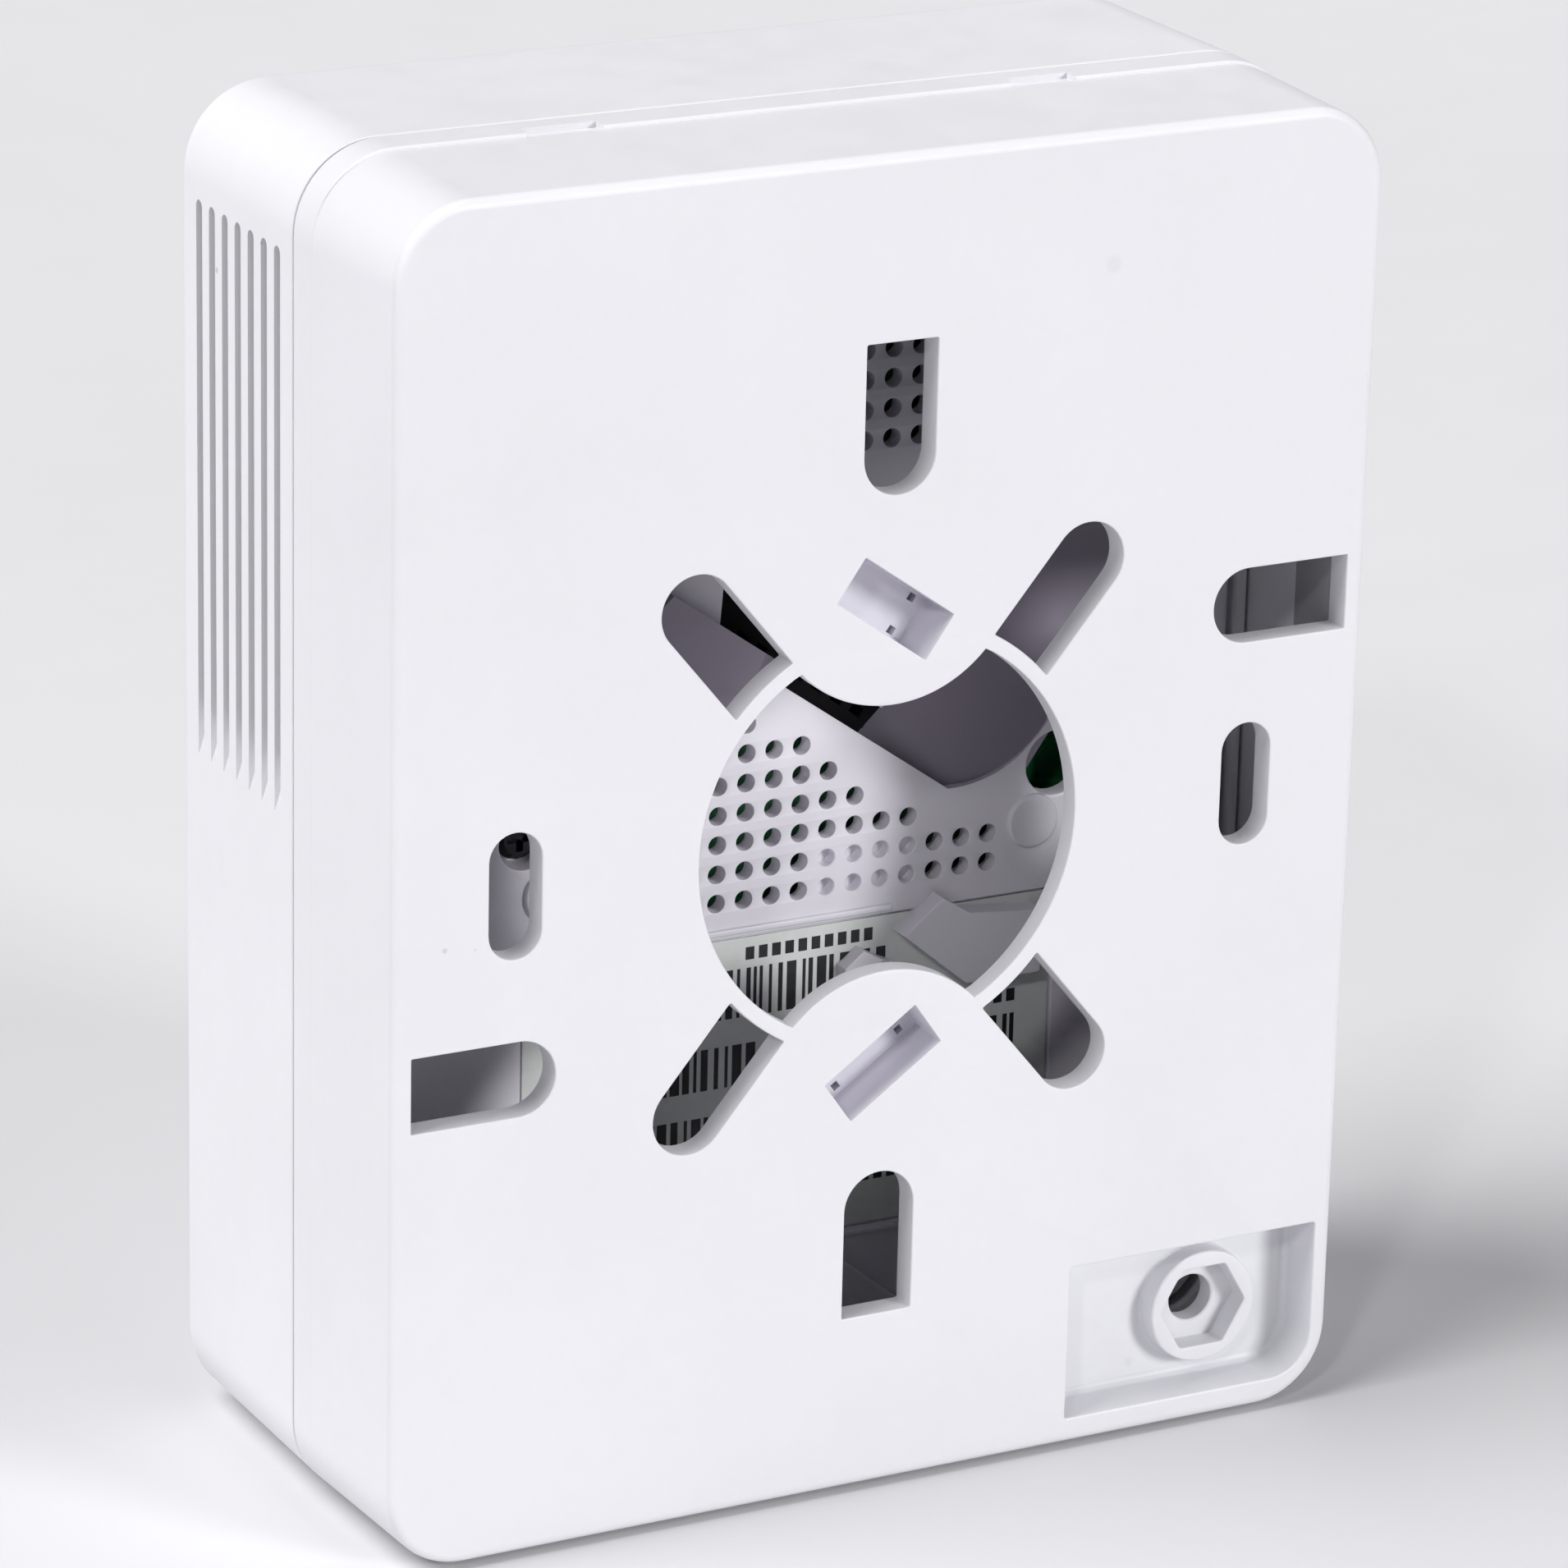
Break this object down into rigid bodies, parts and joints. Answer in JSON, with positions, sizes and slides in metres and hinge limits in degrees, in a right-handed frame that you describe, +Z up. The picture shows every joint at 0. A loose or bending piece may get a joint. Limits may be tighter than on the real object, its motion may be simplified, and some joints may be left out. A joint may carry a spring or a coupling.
{
  "type": "smoke detector",
  "caption": "Wall-mounted rectangular smoke detector: slotted rear mounting base, lift-off vented front unit with optical chamber, sounder, backup cell, radio board and test button.",
  "frame": {"origin": "centre of the flat wall face of the mounting base", "axes": "+Z up the wall, +Y into the wall, the room side faces -Y; +X is to the right when the front is looked at"},
  "size_m": [0.1118, 0.0516, 0.1443],
  "materials": {
    "base_plastic": "satin moulded, fine spark texture",
    "cover_plastic": "satin moulded, fine spark texture",
    "housing_plastic": "satin moulded",
    "label_stock": "printed film",
    "board_laminate": "solder-masked laminate",
    "black_plastic": "matte",
    "clear_plastic": "translucent",
    "smoked_lens": "smooth",
    "cell_sleeve": "shrink sleeve",
    "steel_mesh": "etched mesh",
    "plated_steel": "nickel plated",
    "black_steel": "black oxide",
    "brass_disc": "rolled"
  },
  "bodies": {
    "base": {"mounting_base": "base_plastic"},
    "front_unit": {"front_cover": "cover_plastic", "rear_housing": "housing_plastic", "rating_label": "label_stock", "main_circuit_board": "board_laminate", "supply_socket": "black_plastic", "chamber_base": "black_plastic", "chamber_cap": "black_plastic", "insect_screen": "steel_mesh", "ir_emitter": "smoked_lens", "photodiode": "smoked_lens", "sounder_housing": "black_plastic", "sounder_disc": "brass_disc", "backup_cell": "cell_sleeve", "cell_holder": "black_plastic", "cell_contact_positive": "plated_steel", "cell_contact_negative": "plated_steel", "radio_module": "plated_steel", "microcontroller": "black_plastic", "capacitor_1": "cell_sleeve", "capacitor_2": "cell_sleeve", "thermistor": "black_plastic", "status_led": "clear_plastic", "light_ring": "clear_plastic", "switch_body": "plated_steel", "switch_riser": "black_plastic", "board_screw_1": "plated_steel", "housing_screw_1": "black_steel", "board_screw_2": "plated_steel", "housing_screw_2": "black_steel", "board_screw_3": "plated_steel", "housing_screw_3": "black_steel", "board_screw_4": "plated_steel", "housing_screw_4": "black_steel"},
    "test_button_body": {"test_button": "cover_plastic", "switch_plunger": "black_plastic"}
  },
  "joints": [
    {"name": "front_unit_release", "type": "slide", "parent": "base", "child": "front_unit", "axis": [0, -1, 0], "range_m": [0, 0.045]},
    {"name": "test_button_press", "type": "slide", "parent": "front_unit", "child": "test_button_body", "axis": [0, 1, 0], "range_m": [0, 0.0008], "stiffness_N_per_m": 900, "springref_m": -0.0008}
  ]
}
